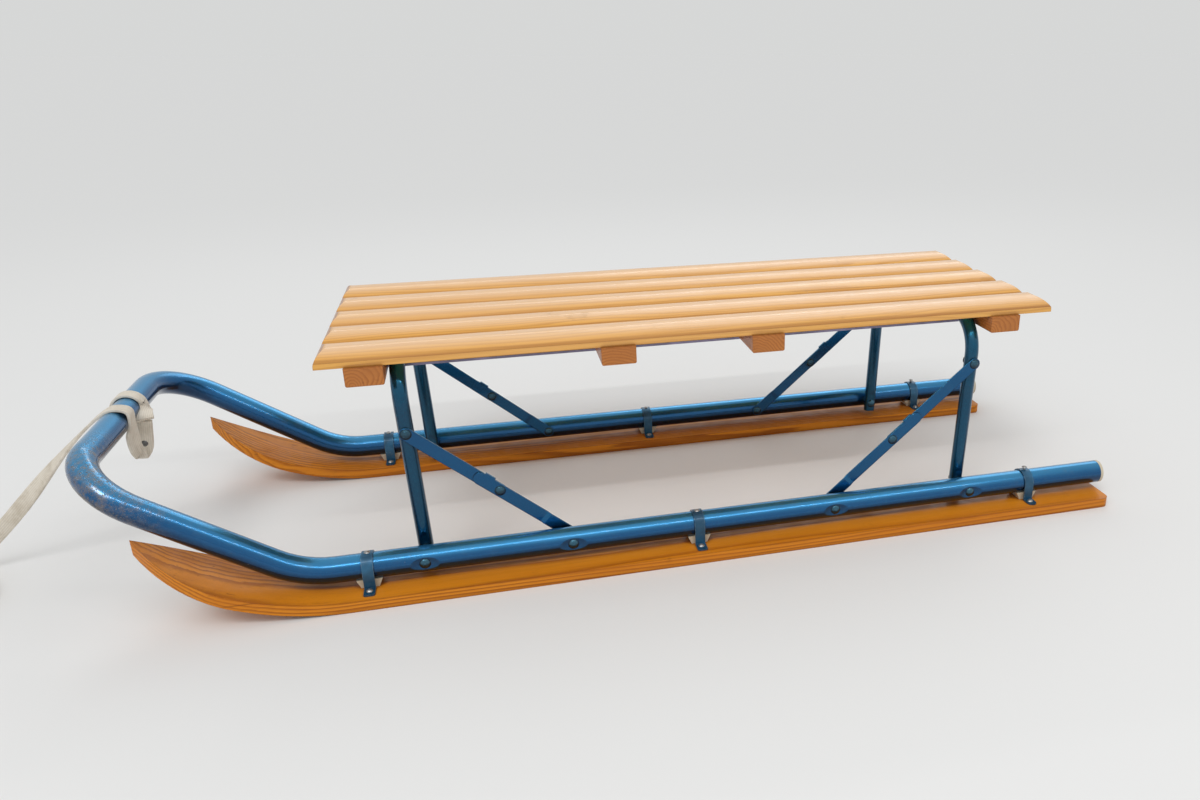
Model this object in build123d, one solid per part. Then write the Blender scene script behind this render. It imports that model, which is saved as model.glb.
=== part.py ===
"""A folding sled: a bent steel tube on two wooden runners, two hinged legs and a slatted seat.

Lengths are in millimetres. +X points forward to the tow bar, +Y to the sled's left, +Z up.
Stations along the sled are counted from the rails' rear ends and shifted to its middle when
the pieces are written. The ground is at Z = 0.
"""
from build123d import *
import os
from math import atan2, cos, degrees, hypot, radians, sin, sqrt

os.makedirs("parts", exist_ok=True)

# Frame tube
rail_diameter = 28.0
rail_wall = 1.5
rail_gauge = 328.0            # between the rails' centre lines
rail_lift = 6.0               # from a runner's top to the underside of its rail
bend_station = 944.0          # where a rail's centre line turns up
arm_angle = 34.0              # from level
arm_length = 230.0            # from the turn to the tow bar's corner
bend_radius = 100.0
corner_radius = 65.0
cap_rim = 3.5                 # straight part of a rail cap's head
cap_dome = 4.5
cap_shank = 18.0
cap_fit = 0.15                # between a cap's shank and the inside of its rail

# Runners
runner_width = 74.0
runner_thickness = 12.0
tip_start = 2.0               # from the front saddle to where the runner starts to curl up
tip_reach = 197.0             # length of the part that curls up
tip_curve_radius = 290.0      # of the runner's underside
tip_taper = 88.0              # length over which the plan narrows to its point
runner_corner = 9.0           # rounding of the square rear end

# Clamps that hold the rails on the runners
clamp_stations = {"front": 880.0, "middle": 525.0, "rear": 104.0}
clamp_width = 11.5
clamp_thickness = 1.6
clamp_gap = 0.1               # between a band and its rail, and round a screw
clamp_foot = 14.0             # how far a foot lies along the runner, outward from the band
foot_corner = 2.5             # rounding of a foot's corners
foot_rounding = 0.2           # what is left straight at the end of a rear clamp's round foot
screw_radius = 2.0
screw_head_radius = 3.6
screw_head_height = 2.2
screw_setback = 5.0           # from a band to the screw in its foot
stud_radius = 1.6             # on top of a rear clamp
stud_height = 3.0             # of its shank above the clamp
stud_flush = 0.1              # the same on the other clamps
saddle_length = 26.0
saddle_width = 22.0
saddle_height = 9.0
saddle_slant = 4.0            # of its ends

# Legs
leg_diameter = 16.0
leg_wall = 1.2
leg_length = 206.5            # from the pivot to the centre of the crossbar
leg_bend_radius = 42.0
foot_drop = 12.0              # how far a leg runs on below its pivot
foot_flat = 1.5               # depth pressed off each side of the foot
foot_height = 14.0            # of the flats above the pivot
foot_fade = 8.0               # height over which the flats run out
leg_lean = 2.0                # each leg leans away from the middle, in degrees
front_leg_station = 823.0
rear_leg_station = 184.0

# Folding stays
link_width = 14.0
link_thickness = 1.5
stop_length = 12.0
stop_thickness = 1.8
stop_inset = 2.0              # of the stop tab from where a lower link's round end starts
front_stay_station = 667.0
rear_stay_station = 360.0
front_stay_drop = 69.5        # from the crossbar's centre line to the stay's rivet on the leg
rear_stay_drop = 50.5
front_lower_length = 95.0     # between the rivets of the lower link
rear_lower_length = 106.5
front_overlap = 26.0          # how far a lower link runs on past the middle rivet
rear_overlap = 38.0
crease_reach = 32.0           # from the rail's rivet to the crease in a lower link
crease_run = 5.0              # length of the slanted part above the crease
crease_shift = 1.2            # how far the rest of the link lies inward from its rail end

# Seat
slat_count = 5
slat_width = 60.0
slat_gap = 1.5
slat_thickness = 15.0
slat_edge = 6.0               # height of a slat's straight side under its domed top
slat_nose = 13.0              # rounding of a slat's ends
front_overhang = 27.4         # of the slats past the front batten
rear_overhang = 43.4
batten_width = 37.0
batten_overhang = 4.0         # of a batten's end past the slats
batten_round = 2.0            # of its lower edges
middle_batten_gap = 165.0     # between the two middle battens
middle_batten_shift = 19.0    # of their middle forward of the legs' middle
guide_width = 12.0
guide_thickness = 2.5
guide_inset = 5.3             # of a guide bar's centre line from the start of a leg's bend
guide_setback = 3.0           # from an end batten's outer face to the guide bar's end
glide_width = 10.0
glide_wall = 1.2              # of the sleeve above and below the crossbar
glide_back = 1.0              # of the sleeve towards the end batten
glide_nose = 3.0              # of the sleeve towards the middle of the seat
glide_round = 2.0

# Rivets and screws
rivet_radius = 3.0
rivet_head_radius = 6.0
rivet_head_height = 2.4
stay_head_height = 1.4
knee_head_height = 1.2        # of the middle rivet's outer head, which passes the rail
knee_back_height = 0.8
dimple_radius = 15.0
dimple_depth = 2.6

# Clearances
running = 0.05                # radial, round a pivot
slide_gap = 0.3               # between a glide and the slot's faces
rail_gap = 0.3                # between a lower link's rail end and its rail
leg_gap = 0.2                 # between a leg and the link beside it
seat_fit = 0.02               # between a riveted piece and the round tube it is pulled against

# Pull strap, flat webbing round the tow bar
strap_width = 16.0
strap_thickness = 3.0
strap_gap = 0.15              # between the strap and the bar
strap_station = 9.0           # of its middle, to the left of the sled's middle
strap_reach = 168.3           # from the bar forward to where the strap meets the ground
strap_run = 42.0              # from there to the coil
strap_bends = (25.0, 40.0)    # radii in front of the bar and on the ground
coil_radius = 78.0            # of the strap's wound length, at the middle of its turns
coil_wall = 15.0
loop_station = -36.0          # of the middle of the loop at the strap's end
loop_slack = 0.5              # between the loop and the bar
tail_station = -12.0          # of the riveted tail, two layers that hang upright behind the bar
tail_length = 41.0
tail_width = 15.0
tail_drop = 10.0              # of its top below the bar's centre line
tail_fold = 5.0               # height of the fold between the tail's foot and the strap
flare_bite = 1.3              # how far the loop's flared end lies in the loop
strap_rivet_radius = 1.8
strap_rivet_head = 3.6
strap_rivet_dome = 1.5
strap_rivet_drop = 25.0       # of the tail's rivet below its top

# Derived places
rail_radius = rail_diameter / 2
rail_y = rail_gauge / 2
rail_z = runner_thickness + rail_lift + rail_radius
rail_inner_y = rail_y - rail_radius
lower_link_top = rail_inner_y - rail_gap - crease_shift
lower_link_y = (lower_link_top - link_thickness, lower_link_top)
upper_link_y = (lower_link_y[0] - link_thickness, lower_link_y[0])
leg_radius = leg_diameter / 2
leg_y = upper_link_y[0] - leg_gap - leg_radius
crossbar_z = rail_z + leg_length * cos(radians(leg_lean))
crossbar_shift = leg_length * sin(radians(leg_lean))
front_crossbar = front_leg_station + crossbar_shift
rear_crossbar = rear_leg_station - crossbar_shift
slot_half = leg_radius + running + glide_wall + slide_gap
batten_height = 2 * slot_half
slat_z = crossbar_z + slot_half
batten_z = slat_z - batten_height
slat_pitch = slat_width + slat_gap
seat_half_width = (slat_count * slat_width + (slat_count - 1) * slat_gap) / 2
batten_half_length = seat_half_width + batten_overhang
guide_y = leg_y - leg_bend_radius - guide_inset
dish_radius = (dimple_radius ** 2 + dimple_depth ** 2) / (2 * dimple_depth)
dish_y = rail_y + rail_radius - dimple_depth + dish_radius
dimple_seat = dish_y - sqrt(dish_radius ** 2 - rivet_head_radius ** 2)
corner_station = bend_station + arm_length * cos(radians(arm_angle))
corner_z = rail_z + arm_length * sin(radians(arm_angle))
front_end = corner_station + rail_radius
runner_flat = clamp_stations["front"] + saddle_length / 2 + tip_start
runner_length = runner_flat + tip_reach
middle = (front_end - cap_rim - cap_dome) / 2


def write(name, *solids):
    """Writes one named piece, moved so that the sled's middle is at X = 0."""
    shape = Compound(children=[Pos(-middle, 0, 0) * s for s in solids])
    export_step(shape, f"parts/{name}.step")


def mirrored(solid):
    return mirror(solid, about=Plane.XZ)


def plate(sketch, y_from, y_to):
    """A flat plate upright along the sled, from a sketch drawn with X along and Y up."""
    return extrude(Plane.XZ.offset(-y_to) * sketch, y_to - y_from)


def pin(x, z, y_from, y_to, radius):
    return Pos(x, y_to, z) * Rot(90, 0, 0) * Cylinder(
        radius, y_to - y_from, align=(Align.CENTER, Align.CENTER, Align.MIN))


def domed_head(x, z, y_face, outward, radius=rivet_head_radius, height=rivet_head_height):
    """A rivet head on the plane Y = y_face, with its dome towards outward (+1 or -1)."""
    ball = (radius * radius + height * height) / (2 * height)
    profile = Pos(0, height - ball) * Circle(ball) & Pos(radius / 2, height / 2) * Rectangle(radius, height)
    head = revolve(Plane.XZ * profile, Axis.Z)
    return Pos(x, y_face, z) * Rot(-90 * outward, 0, 0) * head


def tube_frame():
    """One tube: a rail on each side, bent up at the front and joined by the tow bar."""
    route = FilletPolyline(
        (0, rail_y, rail_z), (bend_station, rail_y, rail_z), (corner_station, rail_y, corner_z),
        (corner_station, -rail_y, corner_z), (bend_station, -rail_y, rail_z), (0, -rail_y, rail_z),
        radius=[bend_radius, corner_radius, corner_radius, bend_radius])
    start = Plane(origin=route @ 0, z_dir=route % 0)
    outer = sweep(start * Circle(rail_radius), path=route)
    inner = sweep(start * Circle(rail_radius - rail_wall), path=route)
    for side in (1, -1):
        for x in rivet_stations:
            centre = Pos(x, side * dish_y, rail_z)
            outer -= centre * Sphere(dish_radius)
            inner -= centre * Sphere(dish_radius + rail_wall)
    tube = outer - inner
    for x in rivet_stations:
        tube -= pin(x, rail_z, -rail_y - rail_diameter, rail_y + rail_diameter, rivet_radius + running)
    return tube


rivet_stations = (front_leg_station, front_stay_station, rear_stay_station, rear_leg_station)
write("rail_frame", tube_frame())


def rail_cap():
    """A plug with a domed head in the open rear end of a rail."""
    ball = (rail_radius ** 2 + cap_dome ** 2) / (2 * cap_dome)
    quarter = Pos(rail_radius / 2, cap_dome / 2) * Rectangle(rail_radius, cap_dome)
    dome = Pos(0, cap_dome - ball) * Circle(ball) & quarter
    rim = Pos(rail_radius / 2, cap_rim / 2) * Rectangle(rail_radius, cap_rim)
    shank_radius = rail_radius - rail_wall - cap_fit
    shank = Pos(shank_radius / 2, -cap_shank / 2) * Rectangle(shank_radius, cap_shank)
    profile = Pos(0, cap_rim) * dome + rim + shank
    return Pos(0, rail_y, rail_z) * Rot(0, -90, 0) * revolve(Plane.XZ * profile, Axis.Z)


cap = rail_cap()
write("rail_cap_left", cap)
write("rail_cap_right", mirrored(cap))


def runner():
    """A board with a square rear end and a pointed tip that curls up."""
    top_radius = tip_curve_radius - runner_thickness
    rise = tip_curve_radius - sqrt(tip_curve_radius ** 2 - tip_reach ** 2)
    top_rise = tip_curve_radius - sqrt(top_radius ** 2 - tip_reach ** 2)
    mid = runner_flat + tip_reach / 2
    under = tip_curve_radius - sqrt(tip_curve_radius ** 2 - (tip_reach / 2) ** 2)
    over = tip_curve_radius - sqrt(top_radius ** 2 - (tip_reach / 2) ** 2)
    side = make_face([
        Line((0, 0), (runner_flat, 0)),
        ThreePointArc((runner_flat, 0), (mid, under), (runner_length, rise)),
        Line((runner_length, rise), (runner_length, top_rise)),
        ThreePointArc((runner_length, top_rise), (mid, over), (runner_flat, runner_thickness)),
        Line((runner_flat, runner_thickness), (0, runner_thickness)),
        Line((0, runner_thickness), (0, 0)),
    ])
    board = plate(side, -runner_width / 2, runner_width / 2)
    half = runner_width / 2
    taper = runner_length - tip_taper
    arc = (tip_taper ** 2 + half ** 2) / (2 * half)
    quarter = sqrt(arc ** 2 - (tip_taper / 2) ** 2) - arc + half
    plan = make_face([
        Line((0, -half), (taper, -half)),
        ThreePointArc((taper, -half), (taper + tip_taper / 2, -quarter), (runner_length, 0)),
        ThreePointArc((runner_length, 0), (taper + tip_taper / 2, quarter), (taper, half)),
        Line((taper, half), (0, half)),
        Line((0, half), (0, -half)),
    ])
    plan = fillet(plan.vertices().sort_by(Axis.X)[:2], runner_corner)
    board &= extrude(plan, 2 * tip_curve_radius)
    return Pos(0, rail_y, 0) * board


board = runner()
write("runner_left", board)
write("runner_right", mirrored(board))


def clamp(x, corner):
    """A steel band over the rail with a foot on the runner on each side."""
    inner = rail_radius + clamp_gap
    outer = inner + clamp_thickness
    foot_end = outer + clamp_foot
    drop = rail_z - runner_thickness
    arch = Circle(outer) + Pos(0, -drop / 2) * Rectangle(2 * outer, drop)
    arch += Pos(0, clamp_thickness / 2 - drop) * Rectangle(2 * foot_end, clamp_thickness)
    arch -= Circle(inner) + Pos(0, -drop / 2) * Rectangle(2 * inner, drop)
    band = extrude(Plane.YZ * arch, clamp_width / 2, both=True)
    tips = band.edges().filter_by(Axis.Z).group_by(SortBy.DISTANCE)[-1]
    band = fillet(tips, corner)
    for side in (1, -1):
        hole = Cylinder(screw_radius + clamp_gap, 4 * clamp_thickness)
        band -= Pos(0, side * (outer + screw_setback), -drop) * hole
    band -= Pos(0, 0, inner) * Cylinder(stud_radius + clamp_gap, 4 * clamp_thickness)
    return Pos(x, rail_y, rail_z) * band


def screw(x, side):
    """Holds a clamp's foot down on its runner."""
    y = rail_y + side * (rail_radius + clamp_gap + clamp_thickness + screw_setback)
    shank = Pos(x, y, runner_thickness) * Cylinder(
        screw_radius, clamp_thickness, align=(Align.CENTER, Align.CENTER, Align.MIN))
    head = Rot(90, 0, 0) * domed_head(0, 0, 0, 1, screw_head_radius, screw_head_height)
    return shank + Pos(x, y, runner_thickness + clamp_thickness) * head


def stud(x, height):
    """A pin through the top of a clamp, with a domed head on it."""
    foot_z = rail_z + rail_radius + seat_fit
    shank_height = clamp_gap + clamp_thickness + height
    shank = Pos(x, rail_y, foot_z) * Cylinder(
        stud_radius, shank_height, align=(Align.CENTER, Align.CENTER, Align.MIN))
    head = Rot(90, 0, 0) * domed_head(0, 0, 0, 1, 2 * stud_radius, stud_radius)
    return shank + Pos(x, rail_y, foot_z + shank_height) * head


def saddle(x):
    """The plastic rest between a rail and its runner, hollowed to the tube."""
    half = saddle_length / 2
    foot = half - saddle_slant
    block = make_face(Polyline(
        (-foot, 0), (foot, 0), (half, saddle_height), (-half, saddle_height), close=True))
    rest = plate(block, -saddle_width / 2, saddle_width / 2)
    bed = Rot(0, 90, 0) * Cylinder(rail_radius + running, 2 * saddle_length)
    rest -= Pos(0, 0, rail_lift + rail_radius) * bed
    return Pos(x, rail_y, runner_thickness) * rest


screws = []
for place, x in clamp_stations.items():
    rear = place == "rear"
    band = clamp(x, clamp_width / 2 - foot_rounding if rear else foot_corner)
    write(f"clamp_{place}_left", band)
    write(f"clamp_{place}_right", mirrored(band))
    screws += [screw(x, 1), screw(x, -1), stud(x, stud_height if rear else stud_flush)]
write("clamp_screws_left", *screws)
write("clamp_screws_right", *[mirrored(s) for s in screws])
saddles = [saddle(x) for x in clamp_stations.values()]
write("saddles_left", *saddles)
write("saddles_right", *[mirrored(s) for s in saddles])


def leg(x_pivot, lean, stay_height):
    """A tube bent to an upside-down U with flattened feet, drawn upright and then leaned."""
    top = leg_length
    route = FilletPolyline((0, leg_y, -foot_drop), (0, leg_y, top), (0, -leg_y, top), (0, -leg_y, -foot_drop),
                           radius=leg_bend_radius)
    start = Plane(origin=route @ 0, z_dir=route % 0)
    tube = sweep(start * Circle(leg_radius), path=route)
    hollow = sweep(start * Circle(leg_radius - leg_wall), path=route)
    solid_top = foot_height + foot_fade
    hollow -= Pos(0, 0, -foot_drop) * Box(
        2 * leg_diameter, 4 * leg_y, foot_drop + solid_top, align=(Align.CENTER, Align.CENTER, Align.MIN))
    tube -= hollow
    flat = leg_radius - foot_flat
    press = make_face(Polyline((flat, -2 * foot_drop), (flat, foot_height), (leg_radius, solid_top),
                               (2 * leg_radius, solid_top), (2 * leg_radius, -2 * foot_drop), close=True))
    press = extrude(Plane.YZ * press, leg_diameter, both=True)
    for side in (1, -1):
        tube -= Pos(0, side * leg_y, 0) * press
        tube -= Pos(0, side * leg_y, 0) * mirrored(press)
    for z in (0, stay_height):
        tube -= pin(0, z, -leg_y - leg_diameter, leg_y + leg_diameter, rivet_radius + running)
    return Pos(x_pivot, 0, rail_z) * Rot(0, lean, 0) * tube


def on_leg(x_pivot, lean, height):
    return x_pivot + height * sin(radians(lean)), rail_z + height * cos(radians(lean))


front_stay_height = leg_length - front_stay_drop
rear_stay_height = leg_length - rear_stay_drop
# Pivot station, lean, stay rivet's height on the leg, stay's station on the rail,
# lower link's length and how far it runs on
legs = {
    "front": (front_leg_station, leg_lean, front_stay_height,
              front_stay_station, front_lower_length, front_overlap),
    "rear": (rear_leg_station, -leg_lean, rear_stay_height,
             rear_stay_station, rear_lower_length, rear_overlap),
}
for name, (station, lean, stay_height, *_) in legs.items():
    write(f"{name}_leg", leg(station, lean, stay_height))


def against_rail(x, y_from, radius):
    """A washer from Y = y_from outward, with its end hollowed to the rail it bears on."""
    ring = pin(x, rail_z, y_from, rail_inner_y + radius / 2, radius)
    return ring - Pos(x, rail_y, rail_z) * Rot(0, 90, 0) * Cylinder(rail_radius + seat_fit, 4 * radius)


def rail_rivet(x, inner_y, outer_y, head_height):
    """Held by a head in the rail's dimple and by one on the piece's inner face; the piece turns
    between the inner head and a washer on the rail."""
    rivet = pin(x, rail_z, inner_y, dimple_seat, rivet_radius)
    rivet += domed_head(x, rail_z, dimple_seat, 1)
    rivet += domed_head(x, rail_z, inner_y, -1, height=head_height)
    rivet += against_rail(x, outer_y, rivet_head_radius)
    return rivet


def pivot_rivet(x):
    """Joins a leg's foot to its rail."""
    flat = leg_radius - foot_flat
    return rail_rivet(x, leg_y - flat - running, leg_y + flat + running, rivet_head_height)


def stay_rivet(x):
    """Joins a lower link to its rail."""
    inner_y = lower_link_y[0] + crease_shift - running
    return rail_rivet(x, inner_y, rail_inner_y - rail_gap + running, stay_head_height)


for name, stations, make in (("leg_pivot_rivets", (front_leg_station, rear_leg_station), pivot_rivet),
                             ("stay_pivot_rivets", (front_stay_station, rear_stay_station), stay_rivet)):
    rivets = [make(x) for x in stations]
    write(name, *rivets, *[mirrored(r) for r in rivets])


def leg_rivet(x, z):
    """Goes through a leg and holds the upper link on its outer side."""
    rivet = pin(x, z, leg_y - leg_radius - seat_fit, upper_link_y[1] + running, rivet_radius)
    rivet += domed_head(x, z, upper_link_y[1] + running, 1, height=knee_head_height)
    rivet += domed_head(x, z, leg_y - leg_radius - seat_fit, -1, height=stay_head_height)
    return rivet


def link(length, past=0.0):
    """The outline of a flat bar with round ends that may run on past its second rivet."""
    bar = Pos((length + past) / 2, 0) * SlotCenterToCenter(length + past, link_width)
    for x in (0, length):
        bar -= Pos(x, 0) * Circle(rivet_radius + running)
    return bar


def stop_tab(length, past, up):
    """The lug on a lower link that bears on the upper link's edge and stops the stay straight."""
    x = length + past - stop_length / 2 - stop_inset
    low = link_width / 2 - stop_thickness
    high = link_width / 2 + stop_thickness + running
    root = Pos(x, up * (low + high) / 2) * Rectangle(stop_length, high - low)
    lug = Pos(x, up * (high - stop_thickness / 2)) * Rectangle(stop_length, stop_thickness)
    return root, lug


def lower_link(length, past, up):
    """A link drawn level, with its rail end pressed outward and a stop lug at its other end."""
    low, high = lower_link_y
    far = 2 * length
    crease_end = crease_reach + crease_run
    side = make_face(Polyline(
        (-far, low + crease_shift), (crease_reach, low + crease_shift), (crease_end, low), (far, low),
        (far, high), (crease_end, high), (crease_reach, high + crease_shift), (-far, high + crease_shift),
        close=True))
    root, lug = stop_tab(length, past, up)
    bar = plate(link(length, past) + root, low, high + crease_shift)
    bar &= extrude(side, 2 * link_width, both=True)
    return bar + plate(lug, *upper_link_y)


def knee_half(x, z, y_from, y_to, face_y, outward, height):
    """One half of the middle rivet, in its own link."""
    return pin(x, z, y_from, y_to, rivet_radius) + domed_head(x, z, face_y, outward, height=height)


for name, (station, lean, stay_height, stay_station, lower_length, overlap) in legs.items():
    top = on_leg(station, lean, stay_height)
    foot = (stay_station, rail_z)
    run = (top[0] - foot[0], top[1] - foot[1])
    whole = hypot(*run)
    turn = degrees(atan2(run[1], run[0]))
    knee = (foot[0] + run[0] * lower_length / whole, foot[1] + run[1] * lower_length / whole)
    up = 1 if run[0] > 0 else -1
    from_top = Pos(*top) * Rot(0, 0, turn + 180)
    upper = plate(from_top * link(whole - lower_length), *upper_link_y)
    lower = Pos(foot[0], 0, foot[1]) * Rot(0, -turn, 0) * lower_link(lower_length, overlap, up)
    rivet = leg_rivet(*top)
    knee_inner = knee_half(*knee, upper_link_y[0], upper_link_y[1] - seat_fit,
                           upper_link_y[0], -1, knee_back_height)
    knee_outer = knee_half(*knee, lower_link_y[0] + seat_fit, lower_link_y[1],
                           lower_link_y[1], 1, knee_head_height)
    write(f"{name}_leg_rivets", rivet, mirrored(rivet))
    write(f"{name}_upper_links", upper, mirrored(upper))
    write(f"{name}_lower_links", lower, mirrored(lower))
    write(f"{name}_knee_pins_inner", knee_inner, mirrored(knee_inner))
    write(f"{name}_knee_pins_outer", knee_outer, mirrored(knee_outer))


def glide(x, inward):
    """A sleeve on a crossbar that fills the slot between the slats and a guide bar."""
    bore = leg_radius + running
    back = bore + glide_back
    nose = bore + glide_nose
    half = slot_half - slide_gap
    block = Pos((nose - back) / 2 * inward, 0) * RectangleRounded(back + nose, 2 * half, glide_round)
    sleeve = plate(block - Circle(bore), guide_y - glide_width / 2, guide_y + glide_width / 2)
    return Pos(x, 0, crossbar_z) * sleeve


for name, x, inward in (("front", front_crossbar, -1), ("rear", rear_crossbar, 1)):
    sleeve = glide(x, inward)
    write(f"{name}_glides", sleeve, mirrored(sleeve))


batten_offset = leg_radius + running + glide_back + slide_gap + batten_width / 2
batten_middle = (front_leg_station + rear_leg_station) / 2 + middle_batten_shift
batten_stations = (front_crossbar + batten_offset, batten_middle + middle_batten_gap / 2,
                   batten_middle - middle_batten_gap / 2, rear_crossbar - batten_offset)
for i, x in enumerate(batten_stations):
    bar = Pos(x, 0, slat_z - batten_height / 2) * Box(batten_width, 2 * batten_half_length, batten_height)
    bar = fillet(bar.edges().filter_by(Axis.Y).group_by(Axis.Z)[0], batten_round)
    write(f"batten_{i + 1}", bar)


def slat(length):
    """A board with a flat underside, a domed top and rounded-over ends."""
    half = slat_width / 2
    section = make_face([
        Line((-half, 0), (half, 0)),
        Line((half, 0), (half, slat_edge)),
        ThreePointArc((half, slat_edge), (0, slat_thickness), (-half, slat_edge)),
        Line((-half, slat_edge), (-half, 0)),
    ])
    board = extrude(Plane.YZ * section, length)
    side = Pos(length / 2, slat_thickness / 2) * Rectangle(length, slat_thickness)
    side = fillet(side.vertices().group_by(Axis.Y)[-1], slat_nose)
    return board & plate(side, -half, half)


slat_from = batten_stations[-1] - batten_width / 2 - rear_overhang
slat_to = batten_stations[0] + batten_width / 2 + front_overhang
plank = slat(slat_to - slat_from)
for i in range(slat_count):
    y = ((slat_count - 1) / 2 - i) * slat_pitch
    write(f"slat_{i + 1}", Pos(slat_from, y, slat_z) * plank)

guide_from = batten_stations[-1] - batten_width / 2 + guide_setback
guide_to = batten_stations[0] + batten_width / 2 - guide_setback
bar = Pos((guide_from + guide_to) / 2, guide_y, batten_z - guide_thickness / 2) * Box(
    guide_to - guide_from, guide_width, guide_thickness)
write("guide_left", bar)
write("guide_right", mirrored(bar))


# Where the strap and its tail lie beside the bar, and the middle of the wound length
bar_side = rail_radius + strap_gap + strap_thickness / 2
strap_back = corner_station - bar_side
tail_top = corner_z - tail_drop
tail_foot = tail_top - tail_length
landing_station = corner_station + strap_reach
coil_outside = coil_radius + coil_wall / 2
coil_centre = (landing_station + strap_run, strap_station + coil_outside - strap_thickness / 2)


def pull_strap():
    """From the tail's foot up behind the bar, over it and down to its coil, with its width across the sled."""
    ground_z = strap_width / 2
    route = FilletPolyline(
        (strap_back, strap_station, tail_foot), (strap_back, strap_station, corner_z + bar_side),
        (corner_station + bar_side, strap_station, corner_z + bar_side),
        (landing_station, strap_station, ground_z), (coil_centre[0], strap_station, ground_z),
        radius=[bar_side, *strap_bends])
    start = Plane(origin=route @ 0, x_dir=(0, 1, 0), z_dir=route % 0)
    band = sweep(start * Rectangle(strap_width, strap_thickness), path=route)
    print("pull strap", round(route.length, 1), "mm long, bends", bar_side, *strap_bends)
    print("its volume over section times length", band.volume / (strap_width * strap_thickness * route.length))
    return band - Pos(*coil_centre, 0) * Cylinder(coil_outside, 4 * strap_width)


def strap_coil():
    """The outer shape of the strap's wound length, which stands on its edge."""
    ring = Circle(coil_outside) - Circle(coil_outside - coil_wall)
    return Pos(*coil_centre, 0) * extrude(ring, strap_width)


def strap_loop():
    """A loop round the bar, its flared end, the tail below it and the fold from there to the strap."""
    inner = rail_radius + loop_slack
    outer = inner + strap_thickness
    from_y = loop_station - strap_width / 2
    to_y = loop_station + strap_width / 2
    layers = 2 * strap_thickness
    ring = plate(Pos(corner_station, corner_z) * (Circle(outer) - Circle(inner)), from_y, to_y)
    flare = make_face(Polyline(
        (from_y, corner_z), (to_y, corner_z), (tail_station, tail_top), (tail_station, tail_top - tail_width),
        (from_y, tail_top - tail_width / 2), close=True))
    flare = Pos(corner_station - outer + flare_bite, 0, 0) * extrude(Plane.YZ * flare, -layers)
    tail = Pos(strap_back, (tail_top + tail_foot) / 2) * Rot(0, 0, 90) * SlotOverall(tail_length, tail_width)
    tail -= Pos(strap_back, tail_top - strap_rivet_drop) * Circle(strap_rivet_radius + running)
    fold = Pos(strap_back, tail_foot + tail_fold / 2) * Rectangle(layers, tail_fold)
    tail_from = tail_station - strap_thickness
    tail = plate(tail, tail_from, tail_from + layers) + plate(fold, tail_from, strap_station - strap_width / 2)
    return ring + flare + tail


def strap_rivet():
    """Through the two layers of the tail, with a domed head on each side."""
    z = tail_top - strap_rivet_drop
    faces = (tail_station - strap_thickness, tail_station + strap_thickness)
    rivet = pin(strap_back, z, *faces, strap_rivet_radius)
    for y, outward in zip(faces, (-1, 1)):
        rivet += domed_head(strap_back, z, y, outward, strap_rivet_head, strap_rivet_dome)
    return rivet


for make in (pull_strap, strap_coil, strap_loop, strap_rivet):
    write(make.__name__, make())
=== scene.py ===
"""The folding sled's looks: camera, light, floor and the finish of every piece.

Lengths are in metres, in the sled's own frame: +X forward to the tow bar, +Y to the sled's left, +Z up.
"""

from math import cos, pi, radians, sin

import bpy
from mathutils import Matrix, Vector


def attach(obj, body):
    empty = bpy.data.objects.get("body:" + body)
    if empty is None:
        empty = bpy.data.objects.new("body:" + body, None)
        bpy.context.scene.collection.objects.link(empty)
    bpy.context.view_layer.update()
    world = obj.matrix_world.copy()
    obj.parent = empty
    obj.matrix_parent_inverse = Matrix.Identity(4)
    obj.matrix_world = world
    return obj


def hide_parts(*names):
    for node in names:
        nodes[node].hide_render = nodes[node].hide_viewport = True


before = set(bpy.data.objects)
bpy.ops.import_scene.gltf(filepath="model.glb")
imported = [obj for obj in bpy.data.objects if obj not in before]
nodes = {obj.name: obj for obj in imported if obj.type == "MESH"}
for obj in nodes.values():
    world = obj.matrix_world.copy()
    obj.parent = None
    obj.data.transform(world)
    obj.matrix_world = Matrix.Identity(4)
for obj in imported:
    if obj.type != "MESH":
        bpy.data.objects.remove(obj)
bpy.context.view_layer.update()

# Camera
camera_place = Vector((0.1640, 1.0880, 0.5523))
camera_yaw = -0.26895         # radians, from looking along -Y
camera_pitch = -0.37175
camera_roll = 0.0026
sensor_width = 36.0           # millimetres
focal_pixels = 932.2
image_width = 1200
centre_shift = 135.5          # pixels that the lens's centre lies right of the picture's middle

# Pull strap, flat webbing: its section, its length and the middle of the tow bar that it goes round
strap_width = 0.016
strap_thickness = 0.003
round_share = 0.15            # of the thickness, the rounding of its long edges
bar_centre = Vector((0.56434, 0, 0.16061))

# Its route: from the fold below its tail up behind the bar, over it and down to the ground
strap_exit = (0.5505, -0.0055, 0.1105)
strap_route = (
    strap_exit, (0.5497, -0.0010, 0.1125), (0.5495, 0.0055, 0.1175), (0.5512, 0.0085, 0.1250),
    (0.5522, 0.009, 0.1340), (0.5520, 0.009, 0.1450), (0.5487, 0.009, 0.1600), (0.5487, 0.009, 0.1763),
    (0.5800, 0.009, 0.1763), (0.7326, 0.009, 0.0080))
line_steps = 10               # sections from one point of the route to the next
foot_width = 0.006            # where the strap narrows to its fold
foot_reach = 0.022            # length over which it does
foot_turn = (0.110, 0.122)    # heights between which it turns most of the way to lie along the bar
bar_turn = (0.142, 0.160)     # and the rest
foot_share = 0.66             # of that turn, made at the lower heights
edge_turn = (0.590, 0.700)    # stations between which the strap turns on its edge

# The coil of its put-away length
coil_centre = Vector((0.7746, 0.0930, 0.0080))
coil_radii = (0.0840, 0.0720)  # of the outermost and the innermost turn
coil_turns = 2
coil_steps = 16               # points for each turn

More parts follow.
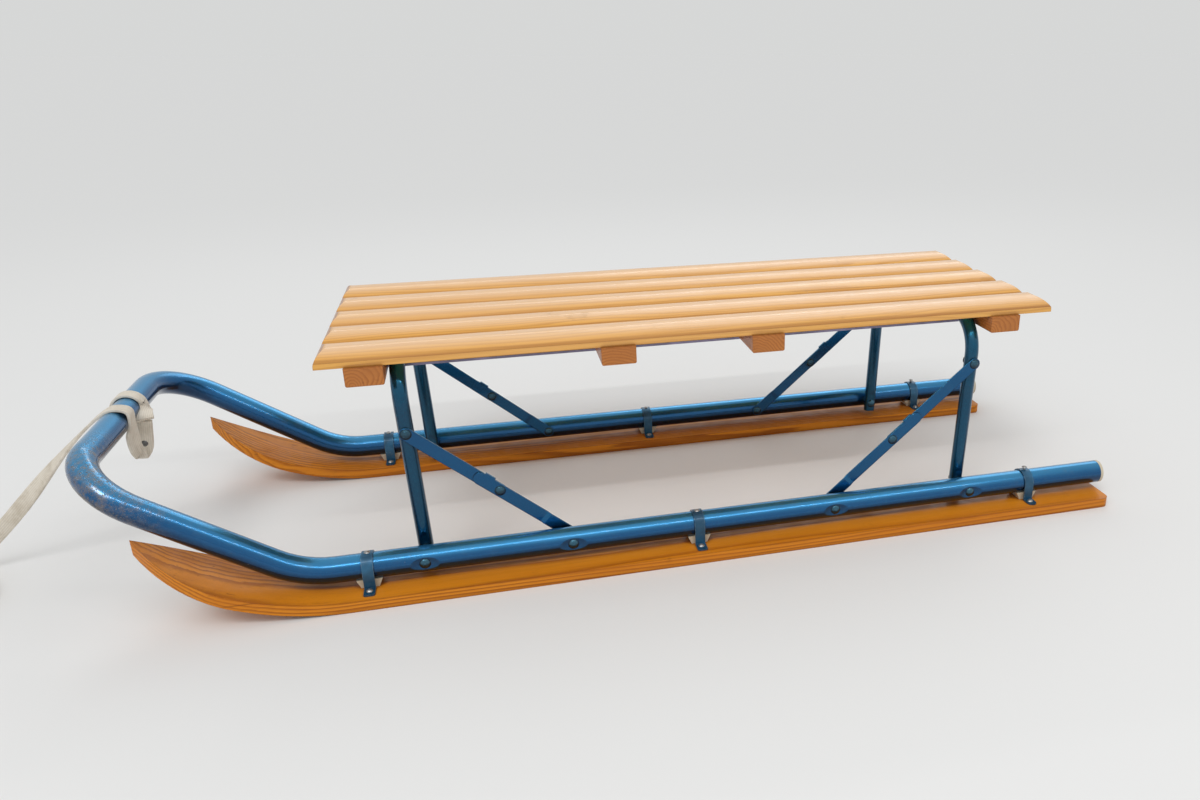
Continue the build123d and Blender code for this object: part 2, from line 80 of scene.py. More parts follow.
# The strap's end: the loop round the bar, the tail's two layers, and the sections for each key point
loop_station = -0.036
loop_reach = 0.0160           # from the bar's centre to the middle of the loop's thickness
loop_angles = (-178, -150, -120, -90, -60, -30, 0, 30, 60, 90, 120, 148, 168)
inner_layer = -0.0105         # along the bar, nearer to its middle
outer_layer = -0.0135
tail_width = 0.0150
key_steps = 6
sharp_angle = 55              # degrees between faces that stay a crisp edge

# Blue paints, each with its deep, middle and bright tone: the deep one is painted shade below, the bright one
# painted light above
frame_blue = ((0.003, 0.026, 0.085), (0.006, 0.095, 0.26), (0.045, 0.28, 0.54))
leg_blue = ((0.001, 0.034, 0.080), (0.002, 0.080, 0.160), (0.018, 0.27, 0.40))
link_blue = ((0.002, 0.052, 0.150), (0.003, 0.115, 0.27), (0.012, 0.22, 0.42))
rivet_blue = ((0.006, 0.030, 0.055), (0.032, 0.115, 0.175), (0.13, 0.34, 0.46))

# Where the tow bar's corner is rubbed, how far fully, and how much further in part
rubbed_place = (0.537, 0.140, 0.157)
rubbed_reach = 0.012
rubbed_fade = 0.085

# Painted strip steel and plastic, each with the colour that wear or dirt gives it
clamp_colours = ((0.012, 0.070, 0.135), (0.30, 0.36, 0.40))
guide_colours = ((0.15, 0.135, 0.22), (0.36, 0.34, 0.36))
cream_colours = ((0.60, 0.53, 0.40), (0.34, 0.27, 0.18))
black_colours = ((0.028, 0.028, 0.03), (0.07, 0.065, 0.06))
old_zinc_tone = 0.45          # how bright the strap's rivet is, against the clamps' screws

# Kinds of wood; the function wood says what each value is
slat_wood = {
    "early": (0.80, 0.41, 0.080), "late": (0.44, 0.16, 0.022), "worn": (0.74, 0.40, 0.15),
    "painted_crown_light": (0.87, 0.62, 0.41), "rings": 310.0, "contrast": 0.42, "gloss": 0.6, "gap_shading": (0.011, 1.0),
}
batten_wood = {
    "early": (0.50, 0.180, 0.040), "late": (0.30, 0.090, 0.018), "worn": (0.42, 0.15, 0.036),
    "rings": 310.0, "contrast": 0.62, "gloss": 0.2, "gap_shading": (0.008, 0.65), "crosswise": True,
}
runner_wood = {
    "early": (0.72, 0.250, 0.011), "late": (0.27, 0.060, 0.002), "worn": (0.56, 0.165, 0.006),
    "rings": 230.0, "contrast": 0.72, "gloss": 0.10, "gap_shading": (0.008, 0.65), "curl": (0.32466, 0.284),
}

# The heart of a board's growth rings: how far it lies below the board's middle, or the runner's sole
slat_heart_depth = 0.025
batten_heart_depth = 0.020
runner_heart_depth = 0.020
heart_depth_swing = 0.012     # how far the depth varies from board to board
slat_heart_swing = 0.022      # how far it strays across from a slat's middle
batten_heart_shift = 0.010    # how far it lies in front of a batten's middle
runner_heart_share = 1.12     # how far out it lies, against the runner's middle

# How far the rings stray across the board: in long waves, and in a fine ripple
ring_wander = 0.05
ring_ripple = 0.003

# Shading of gaps and edges: its samples, and how open or how even a place is where it is full and gone
gap_samples = 8
gap_range = (0.35, 0.95)
edge_samples = 6
edge_range = (0.75, 0.995)

# Floor and light
floor_colour = (0.80, 0.80, 0.79)
backdrop_colour = (0.6746, 0.6813, 0.677)  # the lit floor's, so that no horizon shows
floor_size = 60.0
world_colour = (0.98, 0.99, 1.0)
world_strength = 0.66
# Name, kind, where it shines from, strength, and its softness in degrees or its length and width
lamps = (
    ("key", "SUN", (0.9, 1.1, 1.9), 0.54, (20,)),
    ("rim", "SUN", (-0.8, -1.4, 1.3), 0.30, (35,)),
    ("front_strip", "AREA", (0.0, 1.15, 1.65), 8.5, (2.8, 0.05)),
    ("rear_strip", "AREA", (-0.2, -1.5, 1.30), 2.0, (2.6, 0.08)),
)


def add_object(name, data):
    """A new object in the scene, with that mesh, curve, lamp or camera."""
    item = bpy.data.objects.new(name, data)
    bpy.context.scene.collection.objects.link(item)
    return item


def scaled(colour, factor):
    """A lighter or darker colour."""
    return tuple(min(channel * factor, 1.0) for channel in colour)


def make_camera():
    level = cos(camera_pitch)
    ahead = Vector((sin(camera_yaw) * level, -cos(camera_yaw) * level, sin(camera_pitch)))
    level_right = ahead.cross(Vector((0, 0, 1))).normalized()
    level_up = level_right.cross(ahead)
    right = level_right * cos(camera_roll) + level_up * sin(camera_roll)
    up = level_up * cos(camera_roll) - level_right * sin(camera_roll)
    data = bpy.data.cameras.new("camera")
    data.sensor_width = sensor_width
    data.lens = focal_pixels / image_width * sensor_width
    data.shift_x = -centre_shift / image_width
    camera = add_object("camera", data)
    turn = Matrix((right, up, -ahead)).transposed().to_4x4()
    camera.matrix_world = Matrix.Translation(camera_place) @ turn
    bpy.context.scene.camera = camera


class Shade:
    """A material's node tree, with short makers for the nodes used here."""

    def __init__(self, name):
        self.material = bpy.data.materials.new(name)
        self.material.use_nodes = True
        self.tree = self.material.node_tree
        self.shader = self.tree.nodes["Principled BSDF"]
        self.coordinates = self.tree.nodes.new("ShaderNodeTexCoord").outputs
        self.place = self.coordinates["Object"]

    def link(self, value, socket):
        if isinstance(value, bpy.types.NodeSocket):
            self.tree.links.new(value, socket)
        else:
            socket.default_value = value

    def set(self, **values):
        for name, value in values.items():
            self.link(value, self.shader.inputs[name.replace("_", " ")])

    def math(self, operation, a, b=0.0):
        node = self.tree.nodes.new("ShaderNodeMath")
        node.operation = operation
        self.link(a, node.inputs[0])
        self.link(b, node.inputs[1])
        return node.outputs[0]

    def plus(self, a, b):
        return self.math("ADD", a, b)

    def minus(self, a, b):
        return self.math("SUBTRACT", a, b)

    def times(self, a, b):
        return self.math("MULTIPLY", a, b)

    def stretched(self, scale, shift=(0, 0, 0)):
        """The place on the surface, scaled and shifted for a pattern that is longer one way."""
        node = self.tree.nodes.new("ShaderNodeMapping")
        self.link(self.place, node.inputs["Vector"])
        node.inputs["Scale"].default_value = scale
        node.inputs["Location"].default_value = shift
        return node.outputs[0]

    def noise(self, scale, detail, rough=0.5, source=None):
        node = self.tree.nodes.new("ShaderNodeTexNoise")
        self.link(source or self.place, node.inputs["Vector"])
        node.inputs["Scale"].default_value = scale
        node.inputs["Detail"].default_value = detail
        node.inputs["Roughness"].default_value = rough
        return node.outputs["Fac"]

    def between(self, value, low, high, to_low=0.0, to_high=1.0):
        """The value's range from low to high, turned smoothly into to_low to to_high and held there."""
        node = self.tree.nodes.new("ShaderNodeMapRange")
        node.interpolation_type = "SMOOTHSTEP"
        inputs = {"Value": value, "From Min": low, "From Max": high, "To Min": to_low, "To Max": to_high}
        for name, source in inputs.items():
            self.link(source, node.inputs[name])
        return node.outputs[0]

    def mix(self, share, a, b):
        """Colour a, and b by that share."""
        node = self.tree.nodes.new("ShaderNodeMix")
        node.data_type = "RGBA"
        inputs = {socket.identifier: socket for socket in node.inputs}
        self.link(share, inputs["Factor_Float"])
        for value, name in ((a, "A_Color"), (b, "B_Color")):
            self.link((*value, 1.0) if isinstance(value, tuple) else value, inputs[name])
        return {socket.identifier: socket for socket in node.outputs}["Result_Color"]

    def axis(self, index, source=None):
        node = self.tree.nodes.new("ShaderNodeSeparateXYZ")
        self.link(source or self.place, node.inputs[0])
        return node.outputs[index]

    def facing_up(self):
        """1 where the surface faces up, 0 on its sides and -1 below."""
        return self.axis(2, self.coordinates["Normal"])

    def near(self, point, reach, fade):
        """1 within reach of a point and 0 beyond reach + fade."""
        node = self.tree.nodes.new("ShaderNodeVectorMath")
        node.operation = "DISTANCE"
        self.link(self.place, node.inputs[0])
        node.inputs[1].default_value = point
        return self.between(node.outputs["Value"], reach, reach + fade, 1.0, 0.0)

    def corners(self, reach):
        """1 deep in corners and between close parts, where shade falls, and 0 on open faces; colour darkened
        by it is painted shade.
        """
        node = self.tree.nodes.new("ShaderNodeAmbientOcclusion")
        node.samples = gap_samples
        node.inputs["Distance"].default_value = reach
        return self.between(node.outputs["AO"], *gap_range, 1.0, 0.0)

    def softened(self, width):
        """The surface's normal, turned smoothly over its edges."""
        bevel = self.tree.nodes.new("ShaderNodeBevel")
        bevel.samples = edge_samples
        bevel.inputs["Radius"].default_value = width
        return bevel.outputs[0]

    def edges(self, width):
        """1 along a piece's edges and 0 on its faces, from how a small bevel would turn the surface."""
        geometry = self.tree.nodes.new("ShaderNodeNewGeometry")
        dot = self.tree.nodes.new("ShaderNodeVectorMath")
        dot.operation = "DOT_PRODUCT"
        self.link(self.softened(width), dot.inputs[0])
        self.link(geometry.outputs["Normal"], dot.inputs[1])
        return self.between(dot.outputs["Value"], *edge_range, 1.0, 0.0)

    def bump(self, height, depth, strength, under=None):
        node = self.tree.nodes.new("ShaderNodeBump")
        node.inputs["Distance"].default_value = depth
        node.inputs["Strength"].default_value = strength
        self.link(height, node.inputs["Height"])
        if under is not None:
            self.link(under, node.inputs["Normal"])
        return node.outputs[0]


def sampled(name, points):
    """The smooth line of a spline with those points as its control points."""
    data = bpy.data.curves.new(name, "CURVE")
    data.dimensions = "3D"
    spline = data.splines.new("NURBS")
    spline.points.add(len(points) - 1)
    for point, place in zip(spline.points, points):
        point.co = (*place, 1.0)
    spline.order_u = 3
    spline.use_endpoint_u = True
    spline.resolution_u = line_steps
    carrier = add_object(name, data)
    bpy.context.view_layer.update()
    evaluated = carrier.evaluated_get(bpy.context.evaluated_depsgraph_get())
    mesh = bpy.data.meshes.new_from_object(evaluated)
    line = [vertex.co.copy() for vertex in mesh.vertices]
    bpy.data.objects.remove(carrier)
    bpy.data.meshes.remove(mesh)
    return line


def eased(value, low, high):
    """0 up to low and 1 from high on, with a smooth rise between them."""
    share = min(max((value - low) / (high - low), 0.0), 1.0)
    return share * share * (3 - 2 * share)


def through(keys, share):
    """A smooth curve through equal-length tuples of numbers, at share (0 to 1) of the way."""
    place = share * (len(keys) - 1)
    i = min(int(place), len(keys) - 2)
    t = place - i
    a, b, c, d = (keys[min(max(j, 0), len(keys) - 1)] for j in range(i - 1, i + 3))
    values = []
    for p, q, r, w in zip(a, b, c, d):
        square = (2 * p - 5 * q + 4 * r - w) * t ** 2
        cube = (3 * q - p - 3 * r + w) * t ** 3
        values.append(0.5 * (2 * q + (r - p) * t + square + cube))
    return values


def band(centres, across, widths):
    """Points, faces and texture places of a stretch of strap with rounded edges along a line."""
    round_off = round_share * strap_thickness
    thin = strap_thickness / 2 - round_off
    corner = [radians(angle) for angle in (0, 45, 90)]
    points, faces, places = [], [], []
    run = 0.0
    for i, centre in enumerate(centres):
        before, after = centres[max(i - 1, 0)], centres[min(i + 1, len(centres) - 1)]
        run += (centre - before).length
        along = (after - before).normalized()
        side = (across[i] - along * across[i].dot(along)).normalized()
        up = side.cross(along)
        half = widths[i] / 2 - round_off
        for quarter, (side_sign, up_sign) in enumerate(((1, 1), (-1, 1), (-1, -1), (1, -1))):
            for angle in corner:
                u = side_sign * half + round_off * cos(angle + quarter * pi / 2)
                v = up_sign * thin + round_off * sin(angle + quarter * pi / 2)
                points.append(centre + side * u + up * v)
                places.append((run, u))
    n = 4 * len(corner)
    for i in range(len(centres) - 1):
        for j in range(n):
            k = (j + 1) % n
            faces.append((i * n + j, i * n + k, (i + 1) * n + k, (i + 1) * n + j))
    faces.append(tuple(reversed(range(n))))
    faces.append(tuple(range((len(centres) - 1) * n, len(centres) * n)))
    return points, faces, places


def join(name, bands, material):
    """One piece from several bands."""
    points, faces, places = [], [], []
    for band_points, band_faces, band_places in bands:
        shift = len(points)
        points += band_points
        faces += [tuple(i + shift for i in face) for face in band_faces]
        places += band_places
    mesh = bpy.data.meshes.new(name)
    mesh.from_pydata(points, [], faces)
    layer = mesh.uv_layers.new(name="along")
    for loop in mesh.loops:
        layer.data[loop.index].uv = places[loop.vertex_index]
    mesh.shade_smooth()
    mesh.set_sharp_from_angle(angle=radians(sharp_angle))
    mesh.materials.append(material)
    piece = add_object(name, mesh)
    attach(piece, "base")
    return piece


def coil_points():
    """The coil's turns, each smaller than the one before."""
    outer, inner = coil_radii
    steps = coil_turns * coil_steps
    points = []
    for i in range(steps + 1):
        share = i / steps
        radius = outer + (inner - outer) * share
        angle = -pi / 2 + 2 * pi * coil_turns * share
        points.append(tuple(coil_centre + Vector((cos(angle), sin(angle), 0)) * radius))
    return points


def strap_across(centre, along):
    """The way the strap's width points: back at its fold, then along the bar, and at last up, on its edge."""
    level = Vector((0, -1, 0))
    if centre.x < bar_centre.x and centre.z < bar_centre.z:
        turn = foot_share * eased(centre.z, *foot_turn) + (1 - foot_share) * eased(centre.z, *bar_turn)
        level = level.lerp(Vector((-1, 0, 0)), 1 - turn)
    turned = eased(centre.x, *edge_turn)
    on_edge = level.cross(along) if turned < 1 else Vector((0, 0, 1))
    return level * cos(turned * pi / 2) + on_edge * sin(turned * pi / 2)


def pull_strap(webbing):
    """From the fold below its tail up behind the bar, over it, down to the ground and into its coil."""
    line = sampled("strap_line", [*strap_route, *coil_points()])
    across, widths = [], []
    run = 0.0
    for i, centre in enumerate(line):
        before, after = line[max(i - 1, 0)], line[min(i + 1, len(line) - 1)]
        run += (centre - before).length
        across.append(strap_across(centre, (after - before).normalized()))
        widths.append(foot_width + (strap_width - foot_width) * eased(run, 0, foot_reach))
    piece = join("pull_strap_webbing", [band(line, across, widths)], webbing)
    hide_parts("pull_strap", "strap_coil")
    return piece, line


def strap_end(webbing):
    """The fold below the tail, the tail's two layers and the loop round the bar with its flared end."""
    # Each key point has its centre, the direction across and the width
    ring = bar_centre + Vector((0, loop_station, 0))
    loop = []
    for angle in map(radians, loop_angles):
        loop.append((*(ring + Vector((cos(angle), 0, sin(angle))) * loop_reach), 0, -1, 0, strap_width))
    # The flared end, which lies over the tail's top
    flare = [
        (0.5475, -0.0290, 0.1605, -0.35, -0.93, 0.05, 0.0170),
        (0.5468, -0.0210, 0.1588, -0.70, -0.70, 0.08, 0.0190),
        (0.5458, -0.0135, 0.1568, -0.92, -0.35, 0.10, 0.0215),
        (0.5449, -0.0070, 0.1540, -0.99, 0.00, 0.13, 0.0240),
    ]
    front = [
        (0.5504, -0.0050, 0.1107, -1, 0, 0, 0.0062),
        (0.5504, -0.0072, 0.1100, -1, 0, 0, 0.0060),
        (0.5501, -0.0095, 0.1106, -1, 0, 0, 0.0066),
        (0.5497, -0.0104, 0.1124, -1, 0, 0, 0.0088),
        (0.5493, inner_layer, 0.1150, -1, 0, 0, 0.0116),
        (0.5489, inner_layer, 0.1195, -1, 0, 0, 0.0142),
    ]
    back = [
        (0.5495, outer_layer, 0.1145, -1, 0, 0, 0.0090),
        (0.5490, outer_layer, 0.1190, -1, 0, 0, 0.0135),
    ]
    # Above their folds the two layers lie side by side
    for x, z in ((0.5479, 0.1280), (0.5463, 0.1400), (0.5447, 0.1520)):
        front.append((x, inner_layer, z, -1, 0, 0, tail_width))
        back.append((x, outer_layer, z, -1, 0, 0, tail_width))
    bands = []
    for keys in (loop + flare, front, back):
        steps = key_steps * len(keys)
        values = [through(keys, i / steps) for i in range(steps + 1)]
        centres = [Vector(value[:3]) for value in values]
        across = [Vector(value[3:6]) for value in values]
        widths = [value[6] for value in values]
        bands.append(band(centres, across, widths))
    piece = join("strap_end", bands, webbing)
    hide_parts("strap_loop")
    return piece


def make_strap():
    webbing = strap_webbing()
    strap, line = pull_strap(webbing)
    end = strap_end(webbing)


def strap_webbing():
    """Cream webbing with fine ribs along it and a close weave, soiled in patches."""
    cream, soiled, gap = (0.76, 0.70, 0.60), (0.46, 0.39, 0.29), (0.36, 0.30, 0.22)
    rib_spacing = 0.0021
    pick_spacing = 0.0011
    rib_shift = 0.00015           # how far the ribs push the picks along
    s = Shade("strap_webbing")
    along = s.axis(0, s.coordinates["UV"])
    across = s.axis(1, s.coordinates["UV"])
    ribs = s.math("SINE", s.times(across, 2 * pi / rib_spacing))
    picks = s.math("SINE", s.times(s.plus(along, s.times(ribs, rib_shift)), 2 * pi / pick_spacing))
    weave = s.plus(s.times(ribs, 0.6), s.times(picks, 0.4))
    soil = s.between(s.noise(55.0, 5.0, 0.65), 0.42, 0.72, 0.0, 0.55)
    colour = s.mix(soil, cream, soiled)
    colour = s.mix(s.between(weave, -0.9, 0.6, 0.3, 0.0), colour, gap)
    rough = s.between(weave, -1.0, 1.0, 0.75, 0.55)
    relief = s.bump(weave, 0.00012, 0.7)
    s.set(Base_Color=colour, Roughness=rough, Specular_IOR_Level=0.35, Normal=relief)
    return s.material


def blue_paint(name, painted_shade_and_light_tones, rubbed=None):
    """Metallic blue paint under a clear coat, dusty above, with fine chips; painted light makes it paler
    above and painted shade deeper below.

    Round the place that rubbed gives, it is worn through to primer and brown steel in fine specks.
    """
    deep, mid, bright = painted_shade_and_light_tones
    dust, painted_gap_shade, scratch = (0.18, 0.22, 0.25), (0.010, 0.016, 0.020), (0.16, 0.30, 0.42)
    primer, steel, rust = (0.32, 0.25, 0.19), (0.24, 0.20, 0.16), (0.07, 0.05, 0.04)
    s = Shade(name)
    up = s.facing_up()
    # Painted shade below and painted light above: tones from below to above, in slow drifts
    drift = s.noise(5.0, 3.0)
    height = s.plus(up, s.times(s.minus(drift, 0.5), 0.4))
    colour = s.mix(s.between(height, -0.25, 0.40), deep, mid)
    colour = s.mix(s.between(height, 0.35, 1.0), colour, bright)
    # Metal flakes, dust on top, painted shade in the gaps, long scratches and chips
    flakes = s.between(s.noise(2600.0, 1.0), 0.55, 0.8, 0.0, 0.3)
    colour = s.mix(flakes, colour, scaled(bright, 2.2))
    dusty = s.between(s.noise(45.0, 5.0, 0.7), 0.5, 0.85, 0.0, 0.3)
    colour = s.mix(s.times(dusty, s.between(up, 0.0, 0.9, 0.2, 1.0)), colour, dust)
    # Painted shade: near black in corners and gaps, round rivets and clamps
    colour = s.mix(s.times(s.corners(0.006), 0.7), colour, painted_gap_shade)
    scratches = s.between(s.noise(1.0, 3.0, 0.7, s.stretched((60, 900, 900))), 0.72, 0.78, 0.0, 0.5)
    colour = s.mix(scratches, colour, scratch)
    bare = s.between(s.noise(230.0, 5.0, 0.72), 0.705, 0.725)
    if rubbed:
        close = s.near(rubbed, rubbed_reach, rubbed_fade)
        haze = s.times(s.between(s.noise(120.0, 6.0, 0.7), 0.40, 0.75), close)
        colour = s.mix(s.times(haze, 0.85), colour, primer)
        specks = s.times(s.between(s.noise(420.0, 6.0, 0.8), 0.545, 0.585), close)
        bare = s.math("MAXIMUM", bare, specks)
    metal = s.mix(s.between(s.noise(500.0, 3.0), 0.4, 0.6), steel, rust)
    colour = s.mix(bare, colour, metal)
    rough = s.plus(s.between(drift, 0.3, 0.7, 0.17, 0.27), s.times(bare, 0.3))
    s.set(Base_Color=colour, Metallic=s.between(bare, 0.0, 1.0, 0.8, 0.3), Roughness=rough,
          Coat_Weight=0.4, Coat_Roughness=0.05)
    grain = s.bump(s.noise(900.0, 2.0), 0.00006, 0.35, s.softened(0.002))
    s.set(Normal=s.bump(bare, 0.0001, 0.6, grain))
    return s.material


def wood(name, seed, heart, early, late, worn, rings, contrast, gloss, gap_shading, painted_crown_light=None, curl=None,
         crosswise=False):
    """Flat-sawn pine under varnish, its grain along X, or along Y when crosswise.

    early, late and worn are the colours of early wood, late wood and worn patches. rings counts the growth
    rings in a metre, which lie round a heart, given by its place across and its depth, and contrast is how
    strongly they show. gloss is how thick the varnish is. The pair for corner shading gives how far from a
    corner the painted shade reaches, and how dark it is. Where a crown colour is given, the crown is painted
    paler with it as a painted sky reflection, and a painted shade line is drawn along the crown's edges.
    Where curl gives a station and a radius, the grain follows a board bent up from that station on.
    """
    s = Shade(name)
    if crosswise:
        turned = s.tree.nodes.new("ShaderNodeCombineXYZ")
        for i, source in enumerate((1, 0, 2)):
            s.link(s.axis(source), turned.inputs[i])
        s.place = turned.outputs[0]
    level = s.axis(2)
    if curl:
        station, bend = curl
        reach = s.math("MAXIMUM", s.minus(s.axis(0), station), 0.0)
        fall = s.math("MAXIMUM", s.minus(bend ** 2, s.times(reach, reach)), 0.0001)
        level = s.minus(level, s.minus(bend, s.math("SQRT", fall)))
    # Growth rings, which wander along the board and ripple
    along = s.stretched((1.1, 9.0, 9.0), (seed * 3.7, seed * 1.3, seed * 0.9))
    wander = s.minus(s.noise(1.6, 2.0, 0.5, along), 0.5)
    y = s.plus(s.minus(s.axis(1), heart[0]), s.times(wander, ring_wander))
    z = s.plus(level, heart[1] + heart_depth_swing * sin(seed * 2.4))
    radius = s.math("SQRT", s.plus(s.times(y, y), s.times(z, z)))
    ripple = s.times(s.noise(1.0, 4.0, 0.6, s.stretched((5.0, 150.0, 150.0))), ring_ripple)
    ring = s.math("FRACT", s.times(s.plus(radius, ripple), rings))
    dark = s.times(s.between(ring, 0.3, 0.86), s.between(ring, 0.9, 1.0, 1.0, 0.0))
    colour = s.mix(s.times(dark, contrast), early, late)
    # Worn patches, fibres and dark streaks
    tone = s.noise(1.0, 3.0, 0.55, s.stretched((2.2, 40.0, 40.0), (seed, seed, 0)))
    colour = s.mix(s.between(tone, 0.35, 0.7, 0.0, 0.55), colour, worn)
    fibres = s.noise(1.0, 5.0, 0.75, s.stretched((26.0, 1500.0, 1500.0)))
    colour = s.mix(s.between(fibres, 0.50, 0.72, 0.0, 0.4), colour, late)
    streaks = s.noise(1.0, 3.0, 0.6, s.stretched((3.0, 330.0, 330.0), (seed * 2.0, 0, seed)))
    colour = s.mix(s.between(streaks, 0.62, 0.75, 0.0, 0.55), colour, scaled(late, 0.6))
    # Painted reflection: the crown is painted paler; painted shade: a dark line along the crown's edges
    if painted_crown_light:
        up = s.facing_up()
        colour = s.mix(s.between(up, 0.885, 0.99, 0.0, 0.55), colour, painted_crown_light)
        rim = s.times(s.between(up, 0.842, 0.895, 0.95, 0.0), s.between(up, 0.4, 0.7))
        colour = s.mix(rim, colour, scaled(late, 0.8))
    # Dirt in patches and along the edges, and painted shade in the gaps
    grime = s.between(s.noise(24.0, 5.0, 0.7), 0.6, 0.82, 0.0, 0.3)
    colour = s.mix(grime, colour, scaled(late, 0.35))
    colour = s.mix(s.times(s.edges(0.0018), 0.5), colour, scaled(late, 0.6))
    # Painted shade: darker in corners and in the gaps between boards
    colour = s.mix(s.times(s.corners(gap_shading[0]), gap_shading[1]), colour, scaled(late, 0.5))
    rough = s.between(s.noise(60.0, 4.0), 0.3, 0.7, 0.34, 0.52)
    s.set(Base_Color=colour, Roughness=rough, Specular_IOR_Level=0.22, Coat_Weight=gloss, Coat_Roughness=0.12)
    relief = s.bump(fibres, 0.00012, 0.5)
    s.set(Normal=s.bump(dark, 0.00015, 0.6, relief))
    return s.material


def plastic(name, colours, rough):
    """Moulded plastic, mottled with dirt."""
    clean, dirty = colours
    s = Shade(name)
    mottle = s.between(s.noise(60.0, 5.0, 0.7), 0.4, 0.8, 0.0, 0.6)
    s.set(Base_Color=s.mix(mottle, clean, dirty),
          Roughness=s.between(s.noise(220.0, 3.0), 0.3, 0.7, rough, rough + 0.2),
          Normal=s.bump(s.noise(1500.0, 2.0), 0.00004, 0.4))
    return s.material


def zinc(name, tone=1.0):
    """Zinc plating with its pale bloom and specks of rust, darker with a lower tone."""
    bright, dull, brown = (0.46, 0.46, 0.45), (0.24, 0.24, 0.24), (0.16, 0.09, 0.045)
    s = Shade(name)
    bloom = s.noise(420.0, 4.0, 0.7)
    colour = s.mix(s.between(bloom, 0.35, 0.7), scaled(bright, tone), scaled(dull, tone))
    rust = s.between(s.noise(160.0, 5.0, 0.75), 0.62, 0.72, 0.0, 0.7)
    colour = s.mix(rust, colour, brown)
    s.set(Base_Color=colour, Metallic=s.between(rust, 0.0, 0.7, 0.9, 0.2),
          Roughness=s.between(bloom, 0.3, 0.7, 0.3, 0.5), Normal=s.bump(bloom, 0.00005, 0.5))
    return s.material


def steel_paint(name, colours):
    """Thin paint on strip steel, worn through along its edges and in specks."""
    paint, metal = colours
    s = Shade(name)
    worn_edges = s.times(s.edges(0.0009), s.between(s.noise(300.0, 4.0), 0.35, 0.6))
    specks = s.between(s.noise(420.0, 5.0, 0.7), 0.66, 0.7)
    wear = s.math("MAXIMUM", worn_edges, specks)
    colour = s.mix(s.between(s.noise(40.0, 4.0), 0.35, 0.7), paint, scaled(paint, 1.9))
    s.set(Base_Color=s.mix(wear, colour, metal), Metallic=s.between(wear, 0.0, 1.0, 0.4, 0.85),
          Roughness=s.between(s.noise(200.0, 3.0), 0.3, 0.7, 0.28, 0.45), Coat_Weight=0.3,
          Coat_Roughness=0.15, Normal=s.bump(s.noise(700.0, 3.0), 0.00008, 0.5))
    return s.material


def board_wood(name, middle):
    """The wood of one slat, batten or runner, each with its own grain."""
    if name.startswith("slat"):
        seed = int(name[-1])
        heart = (middle.y + slat_heart_swing * sin(seed * 5.0), slat_heart_depth - middle.z)
        return wood(f"seat_wood_{name}", seed, heart, **slat_wood)
    if name.startswith("batten"):
        seed = int(name[-1]) + 6
        heart = (middle.x + batten_heart_shift, batten_heart_depth - middle.z)
        return wood(f"seat_wood_{name}", seed, heart, **batten_wood)
    seed = 13 + len(name)
    heart = (middle.y * runner_heart_share, runner_heart_depth)
    return wood(f"runner_wood_{name}", seed, heart, **runner_wood)


def finish_nodes():
    frame_paint = blue_paint("frame_paint", frame_blue, rubbed_place)
    leg_paint = blue_paint("leg_paint", leg_blue)
    link_paint = blue_paint("link_paint", link_blue)
    rivet_paint = blue_paint("rivet_paint", rivet_blue)
    clamp_paint = steel_paint("clamp_paint", clamp_colours)
    guide_paint = steel_paint("guide_paint", guide_colours)
    cream = plastic("cream_plastic", cream_colours, 0.38)
    dark = plastic("dark_plastic", black_colours, 0.4)
    rivets = zinc("rivet_steel")
    old_rivet = zinc("strap_rivet_steel", old_zinc_tone)
    # What a node's name holds and its finish; the first line that fits is used
    finishes = (
        ("rail_cap", cream),
        ("saddles", cream),
        ("strap_rivet", old_rivet),
        ("clamp_screws", rivets),
        ("clamp", clamp_paint),
        ("guide", guide_paint),
        ("glides", dark),
        ("rivets", rivet_paint),
        ("pins", rivet_paint),
        ("rail_frame", frame_paint),
        ("links", link_paint),
        ("leg", leg_paint),
    )
    for name, node in nodes.items():
        if name in ("pull_strap", "strap_coil", "strap_loop"):
            continue
        if name.startswith(("slat", "batten", "runner")):
            middle = sum((Vector(corner) for corner in node.bound_box), Vector()) / 8
            finish = board_wood(name, middle)
        else:
            finish = next(finish for part, finish in finishes if part in name)
        node.data.materials.clear()
        node.data.materials.append(finish)


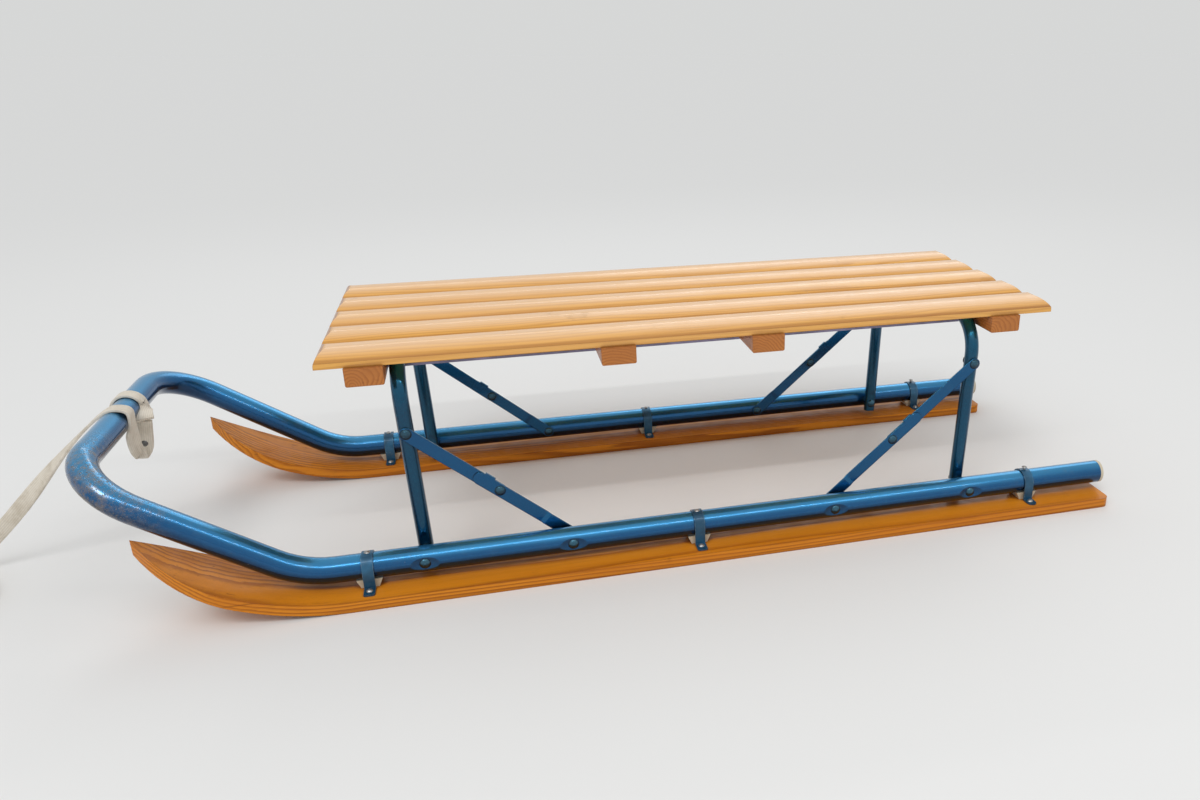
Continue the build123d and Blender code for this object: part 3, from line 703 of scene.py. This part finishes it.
def make_floor():
    half = floor_size / 2
    corners = [(-half, -half, 0), (half, -half, 0), (half, half, 0), (-half, half, 0)]
    mesh = bpy.data.meshes.new("floor")
    mesh.from_pydata(corners, [], [(0, 1, 2, 3)])
    floor = add_object("floor", mesh)
    s = Shade("floor")
    s.set(Base_Color=(*floor_colour, 1.0), Roughness=1.0, Specular_IOR_Level=0.0)
    mesh.materials.append(s.material)


def make_world():
    """Even light from all round, where the camera and reflections see the backdrop's colour."""
    world = bpy.data.worlds.new("world")
    bpy.context.scene.world = world
    world.use_nodes = True
    tree = world.node_tree
    light = tree.nodes["Background"]
    light.inputs["Strength"].default_value = world_strength
    light.inputs["Color"].default_value = (*world_colour, 1.0)
    seen = tree.nodes.new("ShaderNodeBackground")
    seen.inputs["Color"].default_value = (*backdrop_colour, 1.0)
    path = tree.nodes.new("ShaderNodeLightPath")
    share = path.outputs["Is Camera Ray"]
    for ray in ("Is Glossy Ray", "Is Transmission Ray"):
        larger = tree.nodes.new("ShaderNodeMath")
        larger.operation = "MAXIMUM"
        tree.links.new(share, larger.inputs[0])
        tree.links.new(path.outputs[ray], larger.inputs[1])
        share = larger.outputs[0]
    either = tree.nodes.new("ShaderNodeMixShader")
    tree.links.new(share, either.inputs[0])
    tree.links.new(light.outputs[0], either.inputs[1])
    tree.links.new(seen.outputs[0], either.inputs[2])
    tree.links.new(either.outputs[0], tree.nodes["World Output"].inputs["Surface"])


def make_lamps():
    """Two suns, and two long strips that shine straight across, towards the X axis."""
    for name, kind, place, strength, extent in lamps:
        data = bpy.data.lights.new(name, kind)
        data.energy = strength
        source = Vector(place)
        if kind == "SUN":
            data.angle = radians(extent[0])
        else:
            data.shape = "RECTANGLE"
            data.size, data.size_y = extent
            source.x = 0
        lamp = add_object(name, data)
        lamp.location = place
        lamp.rotation_euler = source.to_track_quat("Z", "Y").to_euler()


make_camera()
make_strap()
finish_nodes()
make_floor()
make_world()
make_lamps()
bpy.context.scene.view_settings.view_transform = "Standard"
